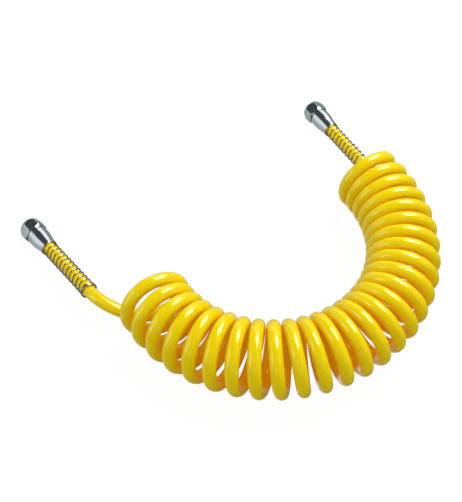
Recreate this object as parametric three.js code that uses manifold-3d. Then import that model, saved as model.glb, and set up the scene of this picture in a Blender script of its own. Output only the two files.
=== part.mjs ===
// Coiled polyurethane air hose with a swivel nut, clamp sleeve and spring guard at each end.
// Millimetres, +Z up. The coil and both nuts rest on the plane z = 0.
import * as THREE from "three";
import { mergeVertices } from "three/addons/utils/BufferGeometryUtils.js";
import Module from "manifold-3d";

const wasm = await Module();
wasm.setup();

// ---- Driving dimensions ----
const CLEARANCE = 0.3; // between pieces that touch on the real hose
const HOSE_RADIUS = 6; // 12 mm tube
const BORE_RADIUS = 4; // 8 mm bore
const COIL_RADIUS = 28.05; // coil axis to tube axis
const COIL_TURNS = 26.83;
const COIL_LENGTH = 423.5; // measured along the coil's bent axis
const COIL_START = [-71.9, -77.5]; // plan position of the coil's axis at the inlet
const START_HEADING = -65.4; // degrees, plan direction of the coil's axis at the inlet
const START_CURVATURE = 0.0086; // per mm: the coil lies bent round in plan
const CURVATURE_LOSS = 0.0024; // the bend opens towards the outlet by this much
const START_ANGLE = -130; // degrees round the coil's axis, where -90 is its underside
const JOIN_TURNS = [0.02, 26.71]; // turns at which the free hose leaves the coil
const RING_SWEEP = [0.067, 0.122]; // sideways slope of the turns, at inlet and outlet
const RING_RAKE = [-0.018, -0.105]; // backward slope of the turns, at inlet and outlet

// End fitting: distances along it are measured from the nut's mouth, towards the hose.
const NUT_ACROSS_FLATS = 21; // G3/8 swivel nut
const NUT_LENGTH = 15;
const MOUTH_FACE_RADIUS = 10; // both ends of the nut are turned back from here
const MOUTH_CHAMFER = 5;
const REAR_FACE_RADIUS = 10.1;
const REAR_CHAMFER = 3.6;
const THREAD_CREST_RADIUS = 7.48; // G3/8 internal thread
const THREAD_ROOT_RADIUS = 8.33;
const THREAD_PITCH = 1.337;
const THREAD_TURNS = 3;
const THREAD_START = 1;
const LIP_START = 12.4; // the nut's inward lip pulls on the stem's collar
const LIP_RADIUS = 5.6;

const STEM_BORE_RADIUS = 2.6;
const NOSE_START = 5.4;
const NOSE_RADIUS = 5.9;
const SEAL_PLACE = 9.3;
const SEAL_SECTION_RADIUS = 0.75;
const SEAL_GROOVE_RADIUS = 4.6;
const SEAL_GROOVE_HALF_WIDTH = 0.9;
const COLLAR_START = 10.4;
const COLLAR_END = LIP_START - CLEARANCE;
const COLLAR_RADIUS = 7;
const NECK_RADIUS = 5.2;
const RING_GROOVE = [17.6, 18.5];
const RING_GROOVE_RADIUS = 4.4;
const RING_OUTER_RADIUS = 7;
const HOSE_START = 19.4; // the hose's cut end
const BARB_COUNT = 3;
const BARB_PITCH = 4.5;
const BARB_RADIUS = 3.6;
const BARB_ROOT_RADIUS = 3.1;
const CLAMP_RING_THICKNESS = 0.7;
const CLAMP_RING_SPAN = [HOSE_START + 1, HOSE_START + 12];

const SLEEVE_START = NUT_LENGTH + 0.6;
const SLEEVE_END = 39.3;
const SLEEVE_RADIUS = 10.25;
const SLEEVE_TAPER = [20.8, 38.8]; // the sleeve narrows between these
const SLEEVE_END_RADIUS = 8.2;

const WIRE_RADIUS = 0.7;
const GUARD_RADIUS = 7; // fitting axis to wire axis
const GUARD_END_RADIUS = 7.35; // the same, in the closed turns
const GUARD_START = 33;
const GUARD_END = 113.8;
const CLOSED_TURNS = 2;
const CLOSED_PITCH = 2 * WIRE_RADIUS + 0.1;
const OPEN_TURNS = 13;

// Each fitting: where the guard lets go of the hose, the direction from there to the nut
// (degrees), and the nut's turn about its axis, 0 with a corner of the hexagon uppermost.
const INLET = { end: [-128.29, -66.36, 23.22], heading: 128.4, slope: -6.5, nutTurn: 30 };
const OUTLET = { end: [145.45, 95.53, 12.12], heading: 119.25, slope: 0, nutTurn: 0 };
const STRAIGHT_PAST_GUARD = 1.5; // the hose stays straight this far beyond the guard
const INLET_BEND = [16, 18]; // handle lengths of the free hose between guard and coil
const OUTLET_BEND = [22, 22];

const HOSE_STEPS = 330;
const HOSE_SIDES = 7;
const BORE_SIDES = 5;
const ROUND_SIDES = 24;
const STEM_SIDES = 16;
const SLEEVE_SIDES = 28;
const WIRE_SIDES = 5;
const WIRE_STEPS_PER_TURN = 14;

// ---- Materials ----
const material = (color, roughness, metalness) => () =>
  new THREE.MeshStandardMaterial({ color, roughness, metalness });
const polyurethane = material(0xf0d000, 0.25, 0);
const chrome = material(0xd4d8dc, 0.12, 1);
const springSteel = material(0xb0aa9c, 0.28, 1);
const brass = material(0xc9a04a, 0.3, 1);
const rubber = material(0x1c1c1e, 0.7, 0);

// ---- Helpers ----
const radians = THREE.MathUtils.degToRad;

function regularPolygon(sides, apothemOrRadius, isApothem, PathClass) {
  const radius = isApothem ? apothemOrRadius / Math.cos(Math.PI / sides) : apothemOrRadius;
  const outline = new PathClass();
  for (let i = 0; i < sides; i++) {
    const angle = (2 * Math.PI * i) / sides;
    const point = [radius * Math.cos(angle), radius * Math.sin(angle)];
    if (i === 0) outline.moveTo(...point);
    else outline.lineTo(...point);
  }
  outline.closePath();
  return outline;
}

function mesh(name, geometry, makeMaterial) {
  const made = new THREE.Mesh(geometry, makeMaterial());
  made.name = name;
  return made;
}

// A turned piece about the local Y axis, from its closed [radius, y] profile.
function turned(profile, sides = ROUND_SIDES) {
  const points = [...profile, profile[0]].map(([radius, y]) => new THREE.Vector2(radius, y));
  return new THREE.LatheGeometry(points, sides);
}

function toSolid(geometry) {
  const bare = geometry.clone();
  bare.deleteAttribute("normal");
  bare.deleteAttribute("uv");
  const merged = mergeVertices(bare, 1e-4);
  return new wasm.Manifold(
    new wasm.Mesh({
      numProp: 3,
      vertProperties: merged.attributes.position.array,
      triVerts: new Uint32Array(merged.index.array),
    }),
  );
}

function toGeometry(solid) {
  const { vertProperties, triVerts } = solid.getMesh();
  const geometry = new THREE.BufferGeometry();
  geometry.setAttribute("position", new THREE.BufferAttribute(vertProperties, 3));
  geometry.setIndex(new THREE.BufferAttribute(triVerts, 1));
  geometry.computeVertexNormals();
  return geometry;
}

// ---- Hose ----
// The coil's axis in plan: its heading turns by the local curvature, step by step.
function coilAxis() {
  const steps = 800;
  const stepLength = COIL_LENGTH / steps;
  const places = [];
  let [x, y] = COIL_START;
  let heading = radians(START_HEADING);
  for (let i = 0; i <= steps; i++) {
    places.push({ x, y, heading });
    const share = (i + 0.5) / steps;
    const turn = (START_CURVATURE - CURVATURE_LOSS * share * share) * stepLength;
    x += Math.cos(heading + turn / 2) * stepLength;
    y += Math.sin(heading + turn / 2) * stepLength;
    heading += turn;
  }
  return (share) => {
    const place = Math.min(share * steps, steps - 1e-9);
    const low = Math.floor(place);
    const blend = place - low;
    const mix = (key) => THREE.MathUtils.lerp(places[low][key], places[low + 1][key], blend);
    return { x: mix("x"), y: mix("y"), heading: mix("heading") };
  };
}
const axisAt = coilAxis();

function coilPoint(turn) {
  const share = turn / COIL_TURNS;
  const { x, y, heading } = axisAt(share);
  const angle = radians(START_ANGLE) + 2 * Math.PI * turn;
  const side = COIL_RADIUS * Math.cos(angle);
  const rise = COIL_RADIUS * Math.sin(angle);
  const lean = THREE.MathUtils.lerp(...RING_SWEEP, share) * side
    + THREE.MathUtils.lerp(...RING_RAKE, share) * rise;
  return new THREE.Vector3(
    x - Math.sin(heading) * side + Math.cos(heading) * lean,
    y + Math.cos(heading) * side + Math.sin(heading) * lean,
    HOSE_RADIUS + COIL_RADIUS + rise,
  );
}

// Unit direction from the coil towards the nut.
function nutDirection({ heading, slope }) {
  const flat = Math.cos(radians(slope));
  return new THREE.Vector3(
    flat * Math.cos(radians(heading)),
    flat * Math.sin(radians(heading)),
    Math.sin(radians(slope)),
  );
}

function hosePoints() {
  const turnStep = 1 / 24;
  const coil = [];
  for (let turn = JOIN_TURNS[0]; turn < JOIN_TURNS[1]; turn += turnStep) coil.push(coilPoint(turn));
  const alongFitting = (fitting, distance) =>
    new THREE.Vector3(...fitting.end).addScaledVector(nutDirection(fitting), distance);
  const straight = (fitting) => {
    const points = [];
    const reach = GUARD_END - HOSE_START;
    const steps = 24;
    for (let i = steps; i >= 0; i--) points.push(alongFitting(fitting, (reach * i) / steps));
    return points;
  };
  // Free hose from a guard to the coil, smooth at both of its ends.
  const bend = (fitting, coilEnd, coilNext, [guardHandle, coilHandle]) => {
    const away = new THREE.Vector3().subVectors(coilEnd, coilNext).normalize();
    const curve = new THREE.CubicBezierCurve3(
      alongFitting(fitting, -STRAIGHT_PAST_GUARD),
      alongFitting(fitting, -STRAIGHT_PAST_GUARD - guardHandle),
      coilEnd.clone().addScaledVector(away, coilHandle),
      coilEnd,
    );
    return curve.getPoints(12).slice(0, -1);
  };
  const count = coil.length;
  return [
    ...straight(INLET),
    ...bend(INLET, coil[0], coil[1], INLET_BEND),
    ...coil,
    ...bend(OUTLET, coil[count - 1], coil[count - 2], OUTLET_BEND).reverse(),
    ...straight(OUTLET).reverse(),
  ];
}

function hose() {
  const centreLine = new THREE.CatmullRomCurve3(hosePoints(), false, "centripetal");
  centreLine.arcLengthDivisions = 12000;
  const section = regularPolygon(HOSE_SIDES, HOSE_RADIUS, false, THREE.Shape);
  section.holes.push(regularPolygon(BORE_SIDES, BORE_RADIUS, true, THREE.Path));
  const geometry = new THREE.ExtrudeGeometry(section, {
    steps: HOSE_STEPS,
    bevelEnabled: false,
    extrudePath: centreLine,
  });
  return mesh("hose", geometry, polyurethane);
}

// ---- End fitting, built along local +Y from the nut's mouth towards the hose ----
function swivelNut(name, nutTurn) {
  const hexagon = regularPolygon(6, NUT_ACROSS_FLATS / 2, true, THREE.Shape);
  const prism = new THREE.ExtrudeGeometry(hexagon, { depth: NUT_LENGTH, bevelEnabled: false });
  prism.rotateZ(Math.PI / 2 + radians(nutTurn));
  prism.rotateX(-Math.PI / 2);
  const corner = NUT_ACROSS_FLATS / Math.sqrt(3) + 0.1;
  const rounded = turned([
    [0, 0],
    [MOUTH_FACE_RADIUS, 0],
    [corner, MOUTH_CHAMFER],
    [corner, NUT_LENGTH - REAR_CHAMFER],
    [REAR_FACE_RADIUS, NUT_LENGTH],
    [0, NUT_LENGTH],
  ], 36);
  const grooves = [];
  for (let i = 0; i < THREAD_TURNS; i++) {
    const start = THREAD_START + i * THREAD_PITCH;
    grooves.push([THREAD_CREST_RADIUS, start]);
    grooves.push([THREAD_ROOT_RADIUS, start + THREAD_PITCH / 2]);
  }
  const threadEnd = THREAD_START + THREAD_TURNS * THREAD_PITCH;
  const bore = turned([
    [0, -1],
    [THREAD_ROOT_RADIUS + 0.15, -1],
    [THREAD_ROOT_RADIUS + 0.15, 0.2],
    ...grooves,
    [THREAD_CREST_RADIUS, threadEnd],
    [THREAD_CREST_RADIUS, LIP_START],
    [LIP_RADIUS, LIP_START],
    [LIP_RADIUS, NUT_LENGTH + 1],
    [0, NUT_LENGTH + 1],
  ]);
  const solid = toSolid(prism).intersect(toSolid(rounded)).subtract(toSolid(bore));
  return mesh(name, toGeometry(solid), chrome);
}

function stem(name) {
  const barbs = [];
  for (let i = 0; i < BARB_COUNT; i++) {
    const start = HOSE_START + 1 + i * BARB_PITCH;
    barbs.push([BARB_ROOT_RADIUS, start]);
    barbs.push([BARB_RADIUS, start + BARB_PITCH * 0.8]);
    barbs.push([BARB_ROOT_RADIUS, start + BARB_PITCH * 0.9]);
  }
  const tip = HOSE_START + 1.5 + BARB_COUNT * BARB_PITCH;
  return mesh(name, turned([
    [STEM_BORE_RADIUS, NOSE_START],
    [STEM_BORE_RADIUS + 0.9, NOSE_START],
    [NOSE_RADIUS, SEAL_PLACE - SEAL_GROOVE_HALF_WIDTH],
    [SEAL_GROOVE_RADIUS, SEAL_PLACE - SEAL_GROOVE_HALF_WIDTH],
    [SEAL_GROOVE_RADIUS, COLLAR_START],
    [COLLAR_RADIUS, COLLAR_START],
    [COLLAR_RADIUS, COLLAR_END],
    [NECK_RADIUS, COLLAR_END],
    [NECK_RADIUS, RING_GROOVE[0]],
    [RING_GROOVE_RADIUS, RING_GROOVE[0]],
    [RING_GROOVE_RADIUS, RING_GROOVE[1]],
    [NECK_RADIUS, RING_GROOVE[1]],
    [NECK_RADIUS, HOSE_START - CLEARANCE],
    [BARB_ROOT_RADIUS, HOSE_START - CLEARANCE],
    ...barbs,
    [BARB_ROOT_RADIUS, tip],
    [STEM_BORE_RADIUS, tip],
  ], STEM_SIDES), brass);
}

function seal(name) {
  const section = [];
  const sides = 8;
  for (let i = 0; i < sides; i++) {
    const angle = (2 * Math.PI * i) / sides;
    section.push([
      SEAL_GROOVE_RADIUS + 0.1 + SEAL_SECTION_RADIUS * (1 + Math.cos(angle)),
      SEAL_PLACE + SEAL_SECTION_RADIUS * Math.sin(angle),
    ]);
  }
  return mesh(name, turned(section, 20), rubber);
}

// Open snap ring that holds the sleeve against the nut end of the stem.
function retainingRing(name) {
  const gap = radians(25);
  const inner = RING_GROOVE_RADIUS + 0.2;
  const outline = new THREE.Shape();
  outline.absarc(0, 0, RING_OUTER_RADIUS, gap, 2 * Math.PI - gap, false);
  outline.absarc(0, 0, inner, 2 * Math.PI - gap, gap, true);
  outline.closePath();
  const thickness = RING_GROOVE[1] - RING_GROOVE[0] - 0.3;
  const geometry = new THREE.ExtrudeGeometry(outline, {
    depth: thickness,
    bevelEnabled: false,
    curveSegments: 10,
  });
  geometry.rotateX(-Math.PI / 2);
  geometry.translate(0, RING_GROOVE[0] + 0.15, 0);
  return mesh(name, geometry, springSteel);
}

function clampRing(name) {
  const inner = HOSE_RADIUS + CLEARANCE;
  const outer = inner + CLAMP_RING_THICKNESS;
  const [start, end] = CLAMP_RING_SPAN;
  return mesh(name, turned([
    [inner, start],
    [outer, start],
    [outer, end],
    [inner, end],
  ]), brass);
}

function sleeve(name) {
  const wallEnd = RING_GROOVE[0] - 0.1;
  const clampBore = HOSE_RADIUS + 2 * CLEARANCE + CLAMP_RING_THICKNESS + 0.1;
  const guardBore = GUARD_RADIUS + WIRE_RADIUS + 0.1;
  const guardBoreStart = GUARD_START - 1;
  const taper = [];
  const taperSteps = 6;
  for (let i = 0; i <= taperSteps; i++) {
    const y = THREE.MathUtils.lerp(...SLEEVE_TAPER, i / taperSteps);
    const share = THREE.MathUtils.smoothstep(y, ...SLEEVE_TAPER);
    taper.push([THREE.MathUtils.lerp(SLEEVE_RADIUS, SLEEVE_END_RADIUS, share), y]);
  }
  return mesh(name, turned([
    [LIP_RADIUS, SLEEVE_START],
    [SLEEVE_RADIUS - 0.4, SLEEVE_START],
    [SLEEVE_RADIUS, SLEEVE_START + 0.4],
    ...taper,
    [SLEEVE_END_RADIUS, SLEEVE_END],
    [guardBore, SLEEVE_END],
    [guardBore, guardBoreStart],
    [clampBore, guardBoreStart],
    [clampBore, wallEnd],
    [LIP_RADIUS, wallEnd],
  ], SLEEVE_SIDES), chrome);
}

// Round wire wound round the hose, its last turns closed where the hose leaves it.
function springGuard(name) {
  const turns = OPEN_TURNS + CLOSED_TURNS;
  const closedLength = CLOSED_TURNS * CLOSED_PITCH;
  const openLength = GUARD_END - GUARD_START - closedLength - 2 * WIRE_RADIUS;
  class WirePath extends THREE.Curve {
    getPoint(share, target = new THREE.Vector3()) {
      const turn = share * turns;
      const angle = 2 * Math.PI * turn;
      const open = Math.min(turn, OPEN_TURNS) * (openLength / OPEN_TURNS);
      const closed = Math.max(turn - OPEN_TURNS, 0) * CLOSED_PITCH;
      const y = GUARD_START + WIRE_RADIUS + open + closed;
      const flare = THREE.MathUtils.smoothstep(turn, OPEN_TURNS - 0.5, OPEN_TURNS + 0.25);
      const radius = THREE.MathUtils.lerp(GUARD_RADIUS, GUARD_END_RADIUS, flare);
      return target.set(radius * Math.sin(angle), y, radius * Math.cos(angle));
    }
  }
  const path = new WirePath();
  path.arcLengthDivisions = 3000;
  const section = regularPolygon(WIRE_SIDES, WIRE_RADIUS, false, THREE.Shape);
  const geometry = new THREE.ExtrudeGeometry(section, {
    steps: turns * WIRE_STEPS_PER_TURN,
    bevelEnabled: false,
    extrudePath: path,
  });
  return mesh(name, geometry, springSteel);
}

function endFitting(prefix, fitting) {
  const group = new THREE.Group();
  group.add(
    swivelNut(`${prefix}_swivel_nut`, fitting.nutTurn),
    stem(`${prefix}_hose_stem`),
    seal(`${prefix}_seal_ring`),
    retainingRing(`${prefix}_retaining_ring`),
    clampRing(`${prefix}_clamp_ring`),
    sleeve(`${prefix}_sleeve`),
    springGuard(`${prefix}_spring_guard`),
  );
  const towardsNut = nutDirection(fitting);
  const along = towardsNut.clone().negate();
  const across = new THREE.Vector3().crossVectors(along, new THREE.Vector3(0, 0, 1)).normalize();
  const upward = new THREE.Vector3().crossVectors(across, along);
  group.quaternion.setFromRotationMatrix(new THREE.Matrix4().makeBasis(across, along, upward));
  group.position.set(...fitting.end).addScaledVector(towardsNut, GUARD_END);
  return group;
}

const airHose = new THREE.Group();
airHose.add(hose(), endFitting("inlet", INLET), endFitting("outlet", OUTLET));

// The origin is the middle of the footprint, on the plane the hose lies on.
const bounds = new THREE.Box3().setFromObject(airHose, true);
const middle = bounds.getCenter(new THREE.Vector3());
airHose.position.set(-middle.x, -middle.y, -bounds.min.z);

export default airHose;
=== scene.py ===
"""Coiled yellow air hose with a chrome swivel nut, sleeve and spring guard at each end."""

import math

import bmesh
import bpy
import numpy as np
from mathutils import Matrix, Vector


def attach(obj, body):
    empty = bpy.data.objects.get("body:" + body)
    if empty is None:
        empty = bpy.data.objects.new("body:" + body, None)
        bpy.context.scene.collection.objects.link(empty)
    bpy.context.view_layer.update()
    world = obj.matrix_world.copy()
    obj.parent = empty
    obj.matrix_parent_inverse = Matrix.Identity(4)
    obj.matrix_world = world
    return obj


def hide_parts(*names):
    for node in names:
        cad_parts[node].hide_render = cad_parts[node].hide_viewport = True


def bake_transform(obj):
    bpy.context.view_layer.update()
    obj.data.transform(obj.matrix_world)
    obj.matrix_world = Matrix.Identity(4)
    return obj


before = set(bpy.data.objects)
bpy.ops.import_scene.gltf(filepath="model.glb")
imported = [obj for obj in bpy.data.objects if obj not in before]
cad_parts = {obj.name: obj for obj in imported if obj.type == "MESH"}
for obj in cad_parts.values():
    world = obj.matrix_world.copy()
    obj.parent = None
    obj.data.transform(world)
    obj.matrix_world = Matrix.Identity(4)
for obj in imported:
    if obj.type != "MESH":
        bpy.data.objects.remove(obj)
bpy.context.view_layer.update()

MM = 0.001

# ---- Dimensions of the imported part, in millimetres, degrees and turns ----
ORIGIN = np.array([6.6071, -10.0704, 0.0044])  # origin of the plan below, in the row frame
CLEARANCE = 0.3
HOSE_RADIUS = 6.0
BORE_RADIUS = 4.0
COIL_RADIUS = 28.05  # coil axis to tube axis
COIL_TURNS = 26.83
COIL_LENGTH = 423.5  # along the coil's bent axis
COIL_START = (-71.9, -77.5)  # plan position of the coil's axis at the inlet
START_HEADING = -65.4
START_CURVATURE = 0.0086  # per millimetre, in plan
CURVATURE_LOSS = 0.0024
START_ANGLE = -130.0  # round the coil's axis, where -90 is its underside
JOIN_TURNS = (0.02, 26.71)  # where the free hose leaves the coil
RING_SWEEP = (0.067, 0.122)  # sideways slope of the turns, at inlet and outlet
RING_RAKE = (-0.018, -0.105)  # backward slope of the turns, at inlet and outlet

# Distances along a fitting are measured from the nut's mouth, towards the hose.
NUT_FLATS = 21.0
NUT_LENGTH = 15.0
MOUTH_FACE_RADIUS = 10.0
MOUTH_CHAMFER = 5.0
REAR_FACE_RADIUS = 10.1
REAR_CHAMFER = 3.6
THREAD_CREST = 7.48
THREAD_ROOT = 8.33
THREAD_PITCH = 1.337
THREAD_TURNS = 3
THREAD_START = 1.0
LIP_START = 12.4
LIP_RADIUS = 5.6

STEM_BORE_RADIUS = 2.6
NOSE_START = 5.4
NOSE_TIP_RADIUS = 3.5
NOSE_RADIUS = 5.9
SEAL_GROOVE_START = 8.4
SEAL_GROOVE_RADIUS = 4.6
COLLAR_START = 10.4
COLLAR_RADIUS = 7.0
NECK_RADIUS = 5.2
RING_GROOVE = (17.6, 18.5)
RING_GROOVE_RADIUS = 4.4
HOSE_START = 19.4  # the hose's cut end
BARB_COUNT = 3
BARB_PITCH = 4.5
BARB_RADIUS = 3.6
BARB_ROOT_RADIUS = 3.1
CLAMP_RING_THICKNESS = 0.7

SLEEVE_START = 15.6
SLEEVE_END = 39.3
SLEEVE_RADIUS = 10.25
SLEEVE_TAPER = (20.8, 38.8)  # the sleeve narrows between these
SLEEVE_END_RADIUS = 8.2

WIRE_RADIUS = 0.7
GUARD_RADIUS = 7.0  # fitting axis to wire axis
GUARD_END_RADIUS = 7.35  # the same, in the closed turns
GUARD_START = 33.0
GUARD_END = 113.8
CLOSED_TURNS = 2
CLOSED_PITCH = 1.5
OPEN_TURNS = 13
WIDENING_START = OPEN_TURNS - 0.5  # in turns: the wire widens before the closed turns
WIDENING_TURNS = 0.75

# Where each guard lets go of the hose, the direction from there to the nut, the nut's turn
# about its axis, and the free hose's handle lengths at the guard and at the coil.
FITTINGS = {
    "inlet": {"end": (-128.29, -66.36, 23.22), "heading": 128.4, "slope": -6.5, "nut_turn": 30.0,
              "bend": (16.0, 18.0)},
    "outlet": {"end": (145.45, 95.53, 12.12), "heading": 119.25, "slope": 0.0, "nut_turn": 0.0,
               "bend": (22.0, 22.0)},
}
STRAIGHT_PAST_GUARD = 1.5  # the hose stays straight this far beyond the guard

# ---- Details that only this model has, in millimetres ----
NUT_EDGE_RADIUS = 0.22
CORNER_BLUNTING = 0.15  # taken off the nut's six corners
THREAD_LAND = 0.12  # flat top and bottom of each thread groove
COUNTERSINK_DEPTH = 0.9
SLEEVE_EDGE_RADIUS = 0.2
SLEEVE_CHAMFER = 0.4
LINE_WIDTH = 0.6  # turned line round the inlet's sleeve, just before its taper
LINE_DEPTH = 0.22
LINE_SLOPE = 0.15
STEM_EDGE_RADIUS = 0.12

# ---- Fineness of the meshes ----
AXIS_STEPS = 800
RINGS_PER_TURN = 72
BEND_STEPS = 40
STRAIGHT_STEP = 1.5  # millimetres
TUBE_SIDES = 32
TUBE_BORE_SIDES = 16
NUT_SIDES = 240
SLEEVE_SIDES = 128
STEM_SIDES = 64
TAPER_STEPS = 14
TAPER_FIRST_SHARE = 0.07  # of the taper, at its first point after its start
WIRE_SIDES = 12
WIRE_STEPS_PER_TURN = 40
SHARP_ANGLE = 35.0  # edges bent by more than this, in degrees, are not smoothed
NUT_SHARP_ANGLE = 28.0


# ---- Placement of the end fittings ----
def unit(v):
    return v / np.linalg.norm(v)


def smooth(share):
    return share * share * (3 - 2 * share)


def pointing(heading, slope):
    """Unit direction with this heading in plan and this upward slope, in degrees."""
    heading, slope = math.radians(heading), math.radians(slope)
    level = math.cos(slope)
    return np.array([level * math.cos(heading), level * math.sin(heading), math.sin(slope)])


def add_directions(place):
    """Adds the nut's mouth and the directions across, along and up the fitting."""
    nutward = pointing(place["heading"], place["slope"])
    place["mouth"] = np.array(place["end"]) + ORIGIN + nutward * GUARD_END
    place["along"] = -nutward
    place["across"] = unit(np.cross(place["along"], (0, 0, 1)))
    place["up"] = np.cross(place["across"], place["along"])


for fitting in FITTINGS.values():
    add_directions(fitting)


def on_axis(place, y):
    """Point on a fitting's axis, y millimetres from the nut's mouth."""
    return place["mouth"] + place["along"] * y


def fitting_to_row(place, points):
    """Local fitting coordinates (across, along, up) to the row frame."""
    p = np.asarray(points, float)
    return (place["mouth"] + p[:, 0:1] * place["across"] + p[:, 1:2] * place["along"]
            + p[:, 2:3] * place["up"])


# ---- Hose centre line ----
def coil_axis():
    """Rows of x, y and heading along the coil's bent axis in plan."""
    step = COIL_LENGTH / AXIS_STEPS
    x, y = COIL_START
    heading = math.radians(START_HEADING)
    rows = []
    for i in range(AXIS_STEPS + 1):
        rows.append((x, y, heading))
        share = (i + 0.5) / AXIS_STEPS
        turn = (START_CURVATURE - CURVATURE_LOSS * share * share) * step
        x += math.cos(heading + turn / 2) * step
        y += math.sin(heading + turn / 2) * step
        heading += turn
    return np.array(rows)


AXIS = coil_axis()


def between_ends(ends, share):
    return ends[0] + (ends[1] - ends[0]) * share


def coil_points(turns):
    """Points of the coiled tube's centre line, at these turns from the coil's start."""
    turns = np.atleast_1d(np.asarray(turns, float))
    share = turns / COIL_TURNS
    grid = np.linspace(0, 1, len(AXIS))
    x, y, heading = (np.interp(share, grid, AXIS[:, k]) for k in range(3))
    angle = math.radians(START_ANGLE) + 2 * np.pi * turns
    side = COIL_RADIUS * np.cos(angle)
    rise = COIL_RADIUS * np.sin(angle)
    lean = between_ends(RING_SWEEP, share) * side + between_ends(RING_RAKE, share) * rise
    points = np.stack([
        x - np.sin(heading) * side + np.cos(heading) * lean,
        y + np.cos(heading) * side + np.sin(heading) * lean,
        HOSE_RADIUS + COIL_RADIUS + rise,
    ], -1)
    return points + ORIGIN


def bezier(a, b, c, d, count):
    t = np.linspace(0, 1, count)[:, None]
    return (1 - t) ** 3 * a + 3 * (1 - t) ** 2 * t * b + 3 * (1 - t) * t * t * c + t ** 3 * d


def free_bend(place, turn, step):
    """Free hose from the end of a guard to the coil; a small step in turns points into the coil."""
    coil_end = coil_points(turn)[0]
    away = unit(coil_end - coil_points(turn + step)[0])
    start = on_axis(place, GUARD_END + STRAIGHT_PAST_GUARD)
    guard_handle, coil_handle = place["bend"]
    return bezier(start, start + place["along"] * guard_handle, coil_end + away * coil_handle,
                  coil_end, BEND_STEPS)


# ---- Mesh helpers ----
def make_object(name, vertices, faces, sharp_angle=SHARP_ANGLE):
    """Object from vertices in millimetres, smooth except at sharp edges."""
    mesh = bpy.data.meshes.new(name)
    mesh.from_pydata((np.asarray(vertices) * MM).tolist(), [], [tuple(f) for f in faces])
    mesh.validate()
    shell = bmesh.new()
    shell.from_mesh(mesh)
    bmesh.ops.recalc_face_normals(shell, faces=shell.faces)
    shell.to_mesh(mesh)
    shell.free()
    obj = bpy.data.objects.new(name, mesh)
    bpy.context.scene.collection.objects.link(obj)
    mesh.polygons.foreach_set("use_smooth", [True] * len(mesh.polygons))
    mesh.set_sharp_from_angle(angle=math.radians(sharp_angle))
    return obj


def frames_along(centre):
    """Parallel-transported normal and binormal at each point of a line."""
    tangent = np.gradient(centre, axis=0)
    tangent /= np.linalg.norm(tangent, axis=1)[:, None]
    normals = np.zeros_like(centre)
    seed = np.array([0.0, 0.0, 1.0])
    normals[0] = unit(seed - tangent[0] * (seed @ tangent[0]))
    for i in range(1, len(centre)):
        normals[i] = unit(normals[i - 1] - tangent[i] * (normals[i - 1] @ tangent[i]))
    return normals, np.cross(tangent, normals)


def rings_round(centre, frames, radius, sides):
    """Vertices of a circle round each point of a line."""
    normals, binormals = frames
    angle = np.linspace(0, 2 * np.pi, sides, endpoint=False)[None, :, None]
    spokes = np.cos(angle) * normals[:, None] + np.sin(angle) * binormals[:, None]
    return (centre[:, None] + radius * spokes).reshape(-1, 3)


def ring_faces(rings, sides, offset=0, flip=False):
    faces = []
    for i in range(rings - 1):
        for j in range(sides):
            a = offset + i * sides + j
            b = offset + i * sides + (j + 1) % sides
            quad = (a, b, b + sides, a + sides)
            faces.append(quad[::-1] if flip else quad)
    return faces


def tube(name, centre):
    """Hollow hose along a line, closed by a flat ring at each end."""
    frames = frames_along(centre)
    vertices = np.concatenate([
        rings_round(centre, frames, HOSE_RADIUS, TUBE_SIDES),
        rings_round(centre, frames, BORE_RADIUS, TUBE_BORE_SIDES),
    ])
    rings = len(centre)
    bore_offset = rings * TUBE_SIDES
    faces = ring_faces(rings, TUBE_SIDES)
    faces += ring_faces(rings, TUBE_BORE_SIDES, bore_offset, flip=True)
    ratio = TUBE_SIDES // TUBE_BORE_SIDES
    for end, flip in ((0, False), (rings - 1, True)):
        bore_ring = bore_offset + end * TUBE_BORE_SIDES
        for j in range(TUBE_BORE_SIDES):
            inner_run = [bore_ring + j, bore_ring + (j + 1) % TUBE_BORE_SIDES]
            outer_run = [end * TUBE_SIDES + (j * ratio + k) % TUBE_SIDES for k in range(ratio + 1)]
            face = inner_run + outer_run[::-1]
            faces.append(face[::-1] if flip else face)
    return make_object(name, vertices, faces)


def rounded(profile, radius, points_per_corner=4):
    """Closed [radius, y] profile with each corner turned into a small arc."""
    longest_reach = 0.45  # share of an edge that a corner's arc may take
    corners = np.asarray(profile, float)
    made = []
    for i, p in enumerate(corners):
        to_before = corners[i - 1] - p
        to_after = corners[(i + 1) % len(corners)] - p
        shorter = min(np.linalg.norm(to_before), np.linalg.norm(to_after))
        reach = min(radius, longest_reach * shorter)
        a = p + unit(to_before) * reach
        c = p + unit(to_after) * reach
        for t in np.linspace(0, 1, points_per_corner):
            made.append((1 - t) ** 2 * a + 2 * (1 - t) * t * p + t * t * c)
    return np.array(made)


def turned(name, place, profile_at, sides, sharp_angle=SHARP_ANGLE):
    """Solid of revolution about a fitting's axis; profile_at(angle) gives its closed profile."""
    angles = np.linspace(0, 2 * np.pi, sides, endpoint=False)
    columns = [np.asarray(profile_at(a)) for a in angles]
    rows = len(columns[0])
    vertices = []
    for a, column in zip(angles, columns):
        for r, y in column:
            vertices.append((r * math.cos(a), y, r * math.sin(a)))
    faces = []
    for i in range(sides):
        k = (i + 1) % sides
        for j in range(rows):
            m = (j + 1) % rows
            faces.append((i * rows + j, i * rows + m, k * rows + m, k * rows + j))
    return make_object(name, fitting_to_row(place, vertices), faces, sharp_angle)


# ---- Baking transforms into meshes ----
def blend_by_weight(obj, weights):
    count = len(obj.data.vertices)
    kept = np.zeros(count * 3, np.float32)
    obj.data.vertices.foreach_get("co", kept)
    w = np.clip(np.asarray(weights, float), 0, 1)
    stand_in = np.zeros((count, 3), np.float32)
    stand_in[:, 0] = 0.5 - np.sin(np.arcsin(1 - 2 * w) / 3)
    obj.data.vertices.foreach_set("co", stand_in.ravel())
    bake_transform(obj)
    obj.data.vertices.foreach_set("co", kept)
    obj.data.update()


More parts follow.
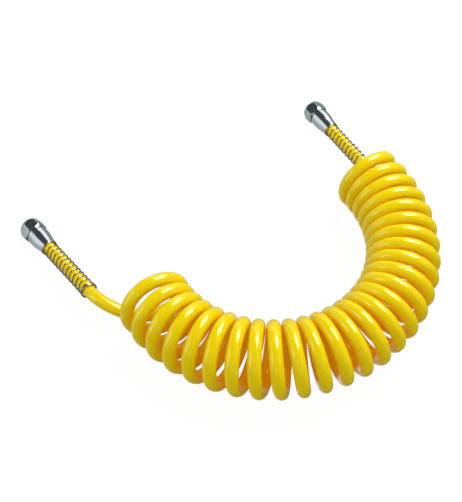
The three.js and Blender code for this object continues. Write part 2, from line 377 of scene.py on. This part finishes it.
def bend_guard(obj):
    """Bakes a piece's transform into its mesh."""
    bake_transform(obj)


# ---- Materials ----
class Nodes:
    """Short way to write the nodes of a material or of the world."""

    def __init__(self, owner):
        owner.use_nodes = True
        self.owner = owner
        self.tree = owner.node_tree
        self.shader = self.tree.nodes.get("Principled BSDF")

    def set(self, node, key, value):
        socket = node.inputs[key]
        if isinstance(value, bpy.types.NodeSocket):
            self.tree.links.new(value, socket)
        else:
            socket.default_value = value

    def add(self, kind, **values):
        """New node; a value goes to the node's own setting of that name, or else to its input."""
        node = self.tree.nodes.new(kind)
        for key, value in values.items():
            if hasattr(node, key) and key not in node.inputs:
                setattr(node, key, value)
            else:
                self.set(node, key, value)
        return node

    def math(self, operation, *values):
        node = self.add("ShaderNodeMath", operation=operation)
        for index, value in enumerate(values):
            self.set(node, index, value)
        return node.outputs[0]

    def noise(self, scale, detail, roughness=0.5, stretch=(1, 1, 1)):
        place = self.add("ShaderNodeTexCoord").outputs["Object"]
        mapping = self.add("ShaderNodeMapping", Vector=place, Scale=stretch)
        node = self.add("ShaderNodeTexNoise", Vector=mapping.outputs["Vector"], Scale=scale,
                        Detail=detail, Roughness=roughness)
        return node.outputs["Fac"]

    def remap(self, value, low, high, out_low=0, out_high=1):
        node = self.add("ShaderNodeMapRange", Value=value)
        for key, number in (("From Min", low), ("From Max", high), ("To Min", out_low),
                            ("To Max", out_high)):
            self.set(node, key, number)
        return node.outputs["Result"]

    def mix_colour(self, factor, a, b):
        node = self.add("ShaderNodeMix", data_type="RGBA")
        for index, value in ((0, factor), (6, a), (7, b)):
            self.set(node, index, value)
        return node.outputs[2]

    def mix_shader(self, factor, a, b):
        node = self.add("ShaderNodeMixShader")
        for index, value in enumerate((factor, a, b)):
            self.set(node, index, value)
        return node.outputs[0]

    def bump(self, height, strength, distance, normal=None):
        node = self.add("ShaderNodeBump", Height=height, Strength=strength, Distance=distance)
        if normal is not None:
            self.set(node, "Normal", normal)
        return node.outputs["Normal"]

    def principled(self, values):
        for key, value in values.items():
            self.set(self.shader, key, value)


def polyurethane():
    """Glossy yellow with painted shade: where turns lie close together, an occlusion node tints it
    orange and adds a faint painted glow.
    """
    m = Nodes(bpy.data.materials.new("polyurethane_yellow"))
    broad = m.noise(22.0, 2.0)
    fine = m.noise(900.0, 3.0)
    open_yellow = m.mix_colour(m.remap(broad, 0.3, 0.7), (0.80, 0.615, 0.0, 1), (0.83, 0.64, 0.0, 1))
    openness = m.add("ShaderNodeAmbientOcclusion", Distance=0.09, samples=6).outputs["AO"]
    # Painted shade: 1 where nearby turns close the surface in, 0 where it lies open.
    painted_shade = m.remap(openness, 0.08, 0.5, 1, 0)
    ripple = m.bump(broad, 0.05, 0.0006)
    m.principled({
        # The orange base colour and the orange glow are painted shade and painted glow, strongest
        # between the turns.
        "Base Color": m.mix_colour(painted_shade, open_yellow, (0.88, 0.51, 0.0, 1)),
        "Emission Color": (1.0, 0.42, 0.0, 1),
        "Emission Strength": m.math("MULTIPLY", painted_shade, 0.10),
        "Roughness": m.remap(fine, 0.3, 0.7, 0.06, 0.10),
        "IOR": 1.6,
        "Specular IOR Level": 0.8,
        "Specular Tint": (1.0, 0.92, 0.45, 1),
        "Subsurface Weight": 0.25,
        "Subsurface Radius": (1.0, 0.55, 0.05),
        "Subsurface Scale": 0.0015,
        "Normal": m.bump(fine, 0.05, 0.00003, ripple),
    })
    return m.owner


def metal(name, colour_a, colour_b, roughness, stretch, scratches=0.04):
    """Metal with broad changes of colour and fine scratches."""
    m = Nodes(bpy.data.materials.new(name))
    broad = m.noise(60.0, 3.0)
    fine = m.noise(260.0, 4.0, 0.6, stretch)
    m.principled({
        "Base Color": m.mix_colour(m.remap(broad, 0.3, 0.7), (*colour_a, 1), (*colour_b, 1)),
        "Metallic": 1.0,
        "Roughness": m.remap(fine, 0.25, 0.75, *roughness),
        "Normal": m.bump(fine, scratches, 0.00002),
    })
    return m.owner


def rubber():
    m = Nodes(bpy.data.materials.new("seal_rubber"))
    grain = m.noise(1500.0, 4.0)
    m.principled({
        "Base Color": m.mix_colour(grain, (0.012, 0.012, 0.013, 1), (0.03, 0.03, 0.032, 1)),
        "Roughness": m.remap(grain, 0.3, 0.7, 0.5, 0.75),
        "Normal": m.bump(grain, 0.3, 0.00004),
    })
    return m.owner


# Each look is a material and a slot name.
YELLOW = (polyurethane(), "polyurethane")
CHROME = (metal("chrome_plate", (0.78, 0.82, 0.83), (0.82, 0.86, 0.87), (0.07, 0.13), (1, 1, 6)),
          "chrome")
STEEL = (metal("guard_wire_steel", (0.54, 0.47, 0.26), (0.62, 0.54, 0.31), (0.25, 0.36), (3, 3, 3),
               scratches=0.1), "spring_steel")
BRASS = (metal("turned_brass", (0.72, 0.50, 0.20), (0.80, 0.58, 0.25), (0.2, 0.32), (1, 1, 8),
               scratches=0.08), "brass")
RUBBER = (rubber(), "rubber")


def paint(obj, look):
    material, slot = look
    obj.data.materials.clear()
    obj.data.materials.append(material)


# ---- Hose ----
SEAM = GUARD_END - 2.0  # the end pieces meet the coil piece inside the guard's closed turns
STRETCH_EASE = 1.5  # turns over which the weight ramp eases in and out
STRETCH_MARGIN = 0.1  # turns at each end of the coil where the weight is held, at 0 before and 1 after
TANGENT_STEP = 0.002  # turns


def end_piece(prefix):
    """Straight hose from its cut end in the sleeve to the seam."""
    place = FITTINGS[prefix]
    count = int((SEAM - HOSE_START) / STRAIGHT_STEP) + 1
    centre = np.array([on_axis(place, y) for y in np.linspace(HOSE_START, SEAM, count)])
    obj = tube(f"{prefix}_hose_end", centre)
    paint(obj, YELLOW)
    bend_guard(obj)


def eased_ramp(x, low, high, ease):
    """0 before low, 1 after high, at a steady rate between them but easing in and out."""
    grid = np.linspace(low, high, 2000)
    rate = smooth(np.clip(np.minimum(grid - low, high - grid) / ease, 0, 1))
    total = np.concatenate([[0], np.cumsum((rate[1:] + rate[:-1]) / 2)])
    return np.interp(x, grid, total / total[-1])


def coil_piece():
    """All the turns with the free hose at both ends, from seam to seam."""
    first, last = JOIN_TURNS
    turns = np.linspace(first, last, int((last - first) * RINGS_PER_TURN))

    def lead(prefix, turn, step):
        """From a seam to the coil, without the coil's own first point."""
        place = FITTINGS[prefix]
        straight_end = GUARD_END + STRAIGHT_PAST_GUARD
        straight = [on_axis(place, y) for y in np.linspace(SEAM, straight_end, 4)[:-1]]
        return np.concatenate([straight, free_bend(place, turn, step)[:-1]])

    lead_in = lead("inlet", first, TANGENT_STEP)
    lead_out = lead("outlet", last, -TANGENT_STEP)[::-1]
    obj = tube("hose_coil", np.concatenate([lead_in, coil_points(turns), lead_out]))
    paint(obj, YELLOW)
    turn_of = np.concatenate([np.full(len(lead_in), first), turns, np.full(len(lead_out), last)])
    weight = eased_ramp(turn_of, first + STRETCH_MARGIN, last - STRETCH_MARGIN, STRETCH_EASE)
    per_vertex = np.concatenate([np.repeat(weight, TUBE_SIDES), np.repeat(weight, TUBE_BORE_SIDES)])
    blend_by_weight(obj, per_vertex)
    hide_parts("hose")


coil_piece()
end_piece("inlet")
end_piece("outlet")


# ---- Fittings ----
def thread_profile():
    grooves = []
    for i in range(THREAD_TURNS):
        start = THREAD_START + i * THREAD_PITCH
        middle = start + THREAD_PITCH / 2
        grooves += [(THREAD_CREST, start), (THREAD_CREST, start + THREAD_LAND),
                    (THREAD_ROOT, middle), (THREAD_ROOT, middle + THREAD_LAND)]
    return grooves + [(THREAD_CREST, THREAD_START + THREAD_TURNS * THREAD_PITCH)]


def nut_profile(place):
    """Profile of the nut at any angle: a hexagon turned back to a cone at both ends."""
    inner = thread_profile() + [(THREAD_CREST, LIP_START), (LIP_RADIUS, LIP_START),
                                (LIP_RADIUS, NUT_LENGTH)]
    mouth = [(MOUTH_FACE_RADIUS, 0.0), (THREAD_ROOT + 0.15, 0.0),
             (THREAD_CREST + 0.1, COUNTERSINK_DEPTH)]
    corner = NUT_FLATS / math.sqrt(3)
    cone_radius = corner + 0.1
    front_slope = MOUTH_CHAMFER / (cone_radius - MOUTH_FACE_RADIUS)
    rear_slope = REAR_CHAMFER / (cone_radius - REAR_FACE_RADIUS)
    sixth = math.pi / 3

    def profile(angle):
        from_flat = (angle - math.pi / 2 - math.radians(place["nut_turn"])) % sixth - sixth / 2
        flat = min(NUT_FLATS / 2 / math.cos(from_flat), corner - CORNER_BLUNTING)
        front = front_slope * (flat - MOUTH_FACE_RADIUS)
        rear = rear_slope * (flat - REAR_FACE_RADIUS)
        outer = [(REAR_FACE_RADIUS, NUT_LENGTH), (flat, NUT_LENGTH - rear), (flat, front)]
        return rounded(outer + mouth + inner, NUT_EDGE_RADIUS)

    return profile


def swivel_nut(prefix):
    place = FITTINGS[prefix]
    obj = turned(f"{prefix}_nut", place, nut_profile(place), NUT_SIDES, NUT_SHARP_ANGLE)
    paint(obj, CHROME)
    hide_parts(f"{prefix}_swivel_nut")
    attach(obj, f"{prefix}_nut")


def sleeve_outside(prefix):
    """Outer outline of the sleeve; only the inlet's has a turned line."""
    taper_start = SLEEVE_TAPER[0]
    outline = [(SLEEVE_RADIUS - SLEEVE_CHAMFER, SLEEVE_START),
               (SLEEVE_RADIUS, SLEEVE_START + SLEEVE_CHAMFER)]
    if prefix == "inlet":
        line = taper_start - LINE_WIDTH
        line_radius = SLEEVE_RADIUS - LINE_DEPTH
        outline += [(SLEEVE_RADIUS, line), (line_radius, line + LINE_SLOPE),
                    (line_radius, taper_start - LINE_SLOPE)]
    outline += [(SLEEVE_RADIUS, taper_start)]
    for share in np.linspace(TAPER_FIRST_SHARE, 1, TAPER_STEPS):
        radius = between_ends((SLEEVE_RADIUS, SLEEVE_END_RADIUS), smooth(share))
        outline.append((radius, between_ends(SLEEVE_TAPER, share)))
    return outline


def sleeve(prefix):
    clamp_bore = HOSE_RADIUS + 2 * CLEARANCE + CLAMP_RING_THICKNESS + 0.1
    guard_bore = GUARD_RADIUS + WIRE_RADIUS + 0.1
    guard_bore_start = GUARD_START - 1
    wall_end = RING_GROOVE[0] - 0.1
    inside = [(SLEEVE_END_RADIUS, SLEEVE_END), (guard_bore, SLEEVE_END), (guard_bore, guard_bore_start),
              (clamp_bore, guard_bore_start), (clamp_bore, wall_end), (LIP_RADIUS, wall_end),
              (LIP_RADIUS, SLEEVE_START)]
    profile = rounded(sleeve_outside(prefix) + inside, SLEEVE_EDGE_RADIUS)[::-1]
    obj = turned(f"{prefix}_clamp_sleeve", FITTINGS[prefix], lambda _: profile, SLEEVE_SIDES)
    paint(obj, CHROME)
    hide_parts(f"{prefix}_sleeve")
    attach(obj, f"{prefix}_fitting")


def stem(prefix):
    collar_end = LIP_START - CLEARANCE
    profile = [
        (STEM_BORE_RADIUS, NOSE_START), (NOSE_TIP_RADIUS, NOSE_START),
        (NOSE_RADIUS, SEAL_GROOVE_START), (SEAL_GROOVE_RADIUS, SEAL_GROOVE_START),
        (SEAL_GROOVE_RADIUS, COLLAR_START), (COLLAR_RADIUS, COLLAR_START),
        (COLLAR_RADIUS, collar_end), (NECK_RADIUS, collar_end),
        (NECK_RADIUS, RING_GROOVE[0]), (RING_GROOVE_RADIUS, RING_GROOVE[0]),
        (RING_GROOVE_RADIUS, RING_GROOVE[1]), (NECK_RADIUS, RING_GROOVE[1]),
        (NECK_RADIUS, HOSE_START - CLEARANCE), (BARB_ROOT_RADIUS, HOSE_START - CLEARANCE),
    ]
    for i in range(BARB_COUNT):
        start = HOSE_START + 1 + i * BARB_PITCH
        profile += [(BARB_ROOT_RADIUS, start), (BARB_RADIUS, start + 0.8 * BARB_PITCH),
                    (BARB_ROOT_RADIUS, start + 0.9 * BARB_PITCH)]
    tip = HOSE_START + 1.5 + BARB_COUNT * BARB_PITCH
    profile += [(BARB_ROOT_RADIUS, tip), (STEM_BORE_RADIUS, tip)]
    shape = rounded(profile, STEM_EDGE_RADIUS, points_per_corner=3)[::-1]
    obj = turned(f"{prefix}_stem", FITTINGS[prefix], lambda _: shape, STEM_SIDES)
    paint(obj, BRASS)
    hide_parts(f"{prefix}_hose_stem")
    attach(obj, f"{prefix}_fitting")


def guard(prefix):
    """Round wire wound round the hose, its last turns closed where the hose leaves it."""
    place = FITTINGS[prefix]
    turns = OPEN_TURNS + CLOSED_TURNS
    open_length = GUARD_END - GUARD_START - CLOSED_TURNS * CLOSED_PITCH - 2 * WIRE_RADIUS
    t = np.linspace(0, turns, turns * WIRE_STEPS_PER_TURN + 1)
    y = (GUARD_START + WIRE_RADIUS + np.minimum(t, OPEN_TURNS) * open_length / OPEN_TURNS
         + np.maximum(t - OPEN_TURNS, 0) * CLOSED_PITCH)
    widening = smooth(np.clip((t - WIDENING_START) / WIDENING_TURNS, 0, 1))
    radius = between_ends((GUARD_RADIUS, GUARD_END_RADIUS), widening)
    angle = 2 * np.pi * t
    local = np.stack([radius * np.sin(angle), y, radius * np.cos(angle)], -1)
    centre = fitting_to_row(place, local)
    vertices = rings_round(centre, frames_along(centre), WIRE_RADIUS, WIRE_SIDES)
    faces = ring_faces(len(centre), WIRE_SIDES)
    faces.append(tuple(range(WIRE_SIDES))[::-1])
    faces.append(tuple((len(centre) - 1) * WIRE_SIDES + k for k in range(WIRE_SIDES)))
    obj = make_object(f"{prefix}_guard_spring", vertices, faces)
    paint(obj, STEEL)
    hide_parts(f"{prefix}_spring_guard")
    bend_guard(obj)


for prefix, hose_body in (("inlet", "hose"), ("outlet", "outlet_guard")):
    swivel_nut(prefix)
    sleeve(prefix)
    stem(prefix)
    guard(prefix)
    for part, look in (("seal_ring", RUBBER), ("retaining_ring", STEEL), ("clamp_ring", BRASS)):
        paint(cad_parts[f"{prefix}_{part}"], look)


# ---- Stage, in metres and degrees ----
FLOOR_HALF_SIZE = 6.0
FLOOR_GLOW = 1.02
FLOOR_GLOW_SHARE = 0.95  # the rest of the floor's brightness is lit, and so takes shadows

AIM = (0.03, -0.03, 0.03)
KEY_PLACE = (0.70, 0.46, 1.36)
SHEEN_PLACE = (0.69, 0.453, 1.34)  # a little in front of the key, so that the key does not hide it
FILL_PLACE = (-1.25, -0.5, 0.5)
FILL_AIM = (0.0, 0.0, 0.03)

# What reflections see, by angle round the direction the fittings point in: 0 is straight above
# them and 90 is to their right. Each step is an angle and its colour.
REFLECTED = (
    (-180, (0.36, 0.40, 0.40)),
    (-140, (0.36, 0.41, 0.39)),
    (-100, (0.42, 0.46, 0.46)),
    (-84, (0.74, 0.78, 0.84)),
    (-50, (0.80, 0.84, 0.88)),
    (-38, (0.05, 0.065, 0.07)),
    (20, (0.04, 0.055, 0.055)),
    (30, (0.98, 1.0, 1.0)),
    (62, (1.0, 1.0, 1.0)),
    (72, (0.17, 0.20, 0.21)),
    (100, (0.26, 0.34, 0.36)),
    (150, (0.20, 0.24, 0.25)),
    (180, (0.36, 0.40, 0.40)),
)
FITTINGS_POINT = (123.8, -3.2)  # heading and slope, midway between the two fittings
FADE = 0.3  # cosine over which REFLECTED sets in, ahead of the fittings and overhead
OVERHEAD_SHARE = 0.35  # how much of REFLECTED shows straight overhead
BEHIND_COLOUR = (0.08, 0.08, 0.08, 1)  # what reflections see behind the fittings
AMBIENT_COLOUR = (0.68, 0.68, 0.68, 1)  # light from all round, on all that is not a reflection

CAMERA_PLACE = np.array([0.0, -522.257, 640.176])  # millimetres, in the plan's frame
CAMERA_DROP = 50.792  # how far below level it looks
LENS = 60.45705  # millimetres
SENSOR = 36.0


def floor():
    """White floor that glows for the camera and is not there for reflections."""
    mesh = bpy.data.meshes.new("floor")
    half = FLOOR_HALF_SIZE
    mesh.from_pydata([(-half, -half, 0), (half, -half, 0), (half, half, 0), (-half, half, 0)], [],
                     [(0, 1, 2, 3)])
    obj = bpy.data.objects.new("floor", mesh)
    bpy.context.scene.collection.objects.link(obj)
    m = Nodes(bpy.data.materials.new("floor_white"))
    speckle = m.noise(300.0, 2.0)
    m.principled({
        "Base Color": m.mix_colour(speckle, (0.60, 0.60, 0.60, 1), (0.63, 0.63, 0.63, 1)),
        "Roughness": 0.9,
    })
    glow = m.add("ShaderNodeEmission", Color=(1, 1, 1, 1), Strength=FLOOR_GLOW)
    clear = m.add("ShaderNodeBsdfTransparent")
    path = m.add("ShaderNodeLightPath")
    share = m.math("MULTIPLY", path.outputs["Is Camera Ray"], FLOOR_GLOW_SHARE)
    seen = m.mix_shader(share, m.shader.outputs[0], glow.outputs[0])
    surface = m.mix_shader(path.outputs["Is Glossy Ray"], seen, clear.outputs[0])
    m.set(m.tree.nodes["Material Output"], "Surface", surface)
    obj.data.materials.append(m.owner)


def softbox(name, location, target, size, energy):
    light = bpy.data.lights.new(name, "AREA")
    light.shape = "RECTANGLE"
    light.size, light.size_y = size
    light.energy = energy
    obj = bpy.data.objects.new(name, light)
    bpy.context.scene.collection.objects.link(obj)
    obj.location = location
    obj.rotation_mode = "QUATERNION"
    obj.rotation_quaternion = (Vector(target) - Vector(location)).to_track_quat("-Z", "Y")
    return obj


def lights():
    """The key gives the light and its shadows, the sheen only the bright spots on the turns."""
    key = softbox("key", KEY_PLACE, AIM, size=(0.85, 0.8), energy=18.6)
    key.visible_glossy = False
    sheen = softbox("sheen", SHEEN_PLACE, AIM, size=(1.0, 0.95), energy=35.0)
    sheen.visible_diffuse = False
    softbox("fill_left", FILL_PLACE, FILL_AIM, size=(0.5, 1.0), energy=2.5)


def surroundings():
    """Even light from all round, and a painted studio that only reflections see."""
    world = bpy.data.worlds.new("studio")
    bpy.context.scene.world = world
    m = Nodes(world)
    looking = m.add("ShaderNodeTexCoord").outputs["Generated"]

    def towards(direction):
        """Cosine of the angle between where a ray looks and this direction."""
        node = m.add("ShaderNodeVectorMath", operation="DOT_PRODUCT")
        m.set(node, 0, looking)
        m.set(node, 1, Vector(direction))
        return node.outputs["Value"]

    heading, slope = FITTINGS_POINT
    ahead = towards(pointing(heading, slope))
    right = towards(pointing(heading - 90, 0))
    above = towards(pointing(heading, slope + 90))
    overhead = towards((0, 0, 1))

    angle = m.math("ARCTAN2", right, above)
    ramp = m.add("ShaderNodeValToRGB", Fac=m.remap(angle, -math.pi, math.pi))
    steps = ramp.color_ramp.elements
    for index, (degrees, colour) in enumerate(REFLECTED):
        share = (degrees + 180) / 360
        step = steps[index] if index < 1 else steps.new(share)
        step.position = share
        step.color = (*colour, 1)
    facing = m.math("MAXIMUM", m.remap(ahead, 0, FADE), m.remap(overhead, 0, FADE, 0, OVERHEAD_SHARE))
    reflected = m.mix_colour(facing, BEHIND_COLOUR, ramp.outputs["Color"])
    glossy = m.add("ShaderNodeLightPath").outputs["Is Glossy Ray"]
    m.set(m.tree.nodes["Background"], "Color", m.mix_colour(glossy, AMBIENT_COLOUR, reflected))


def camera():
    data = bpy.data.cameras.new("camera")
    obj = bpy.data.objects.new("camera", data)
    bpy.context.scene.collection.objects.link(obj)
    bpy.context.scene.camera = obj
    data.sensor_width = SENSOR
    data.lens = LENS
    data.clip_start, data.clip_end = 0.02, 50.0
    obj.location = (CAMERA_PLACE + ORIGIN) * MM
    obj.rotation_euler = (math.radians(90 - CAMERA_DROP), 0.0, 0.0)


floor()
surroundings()
lights()
camera()
bpy.context.scene.view_settings.view_transform = "Standard"
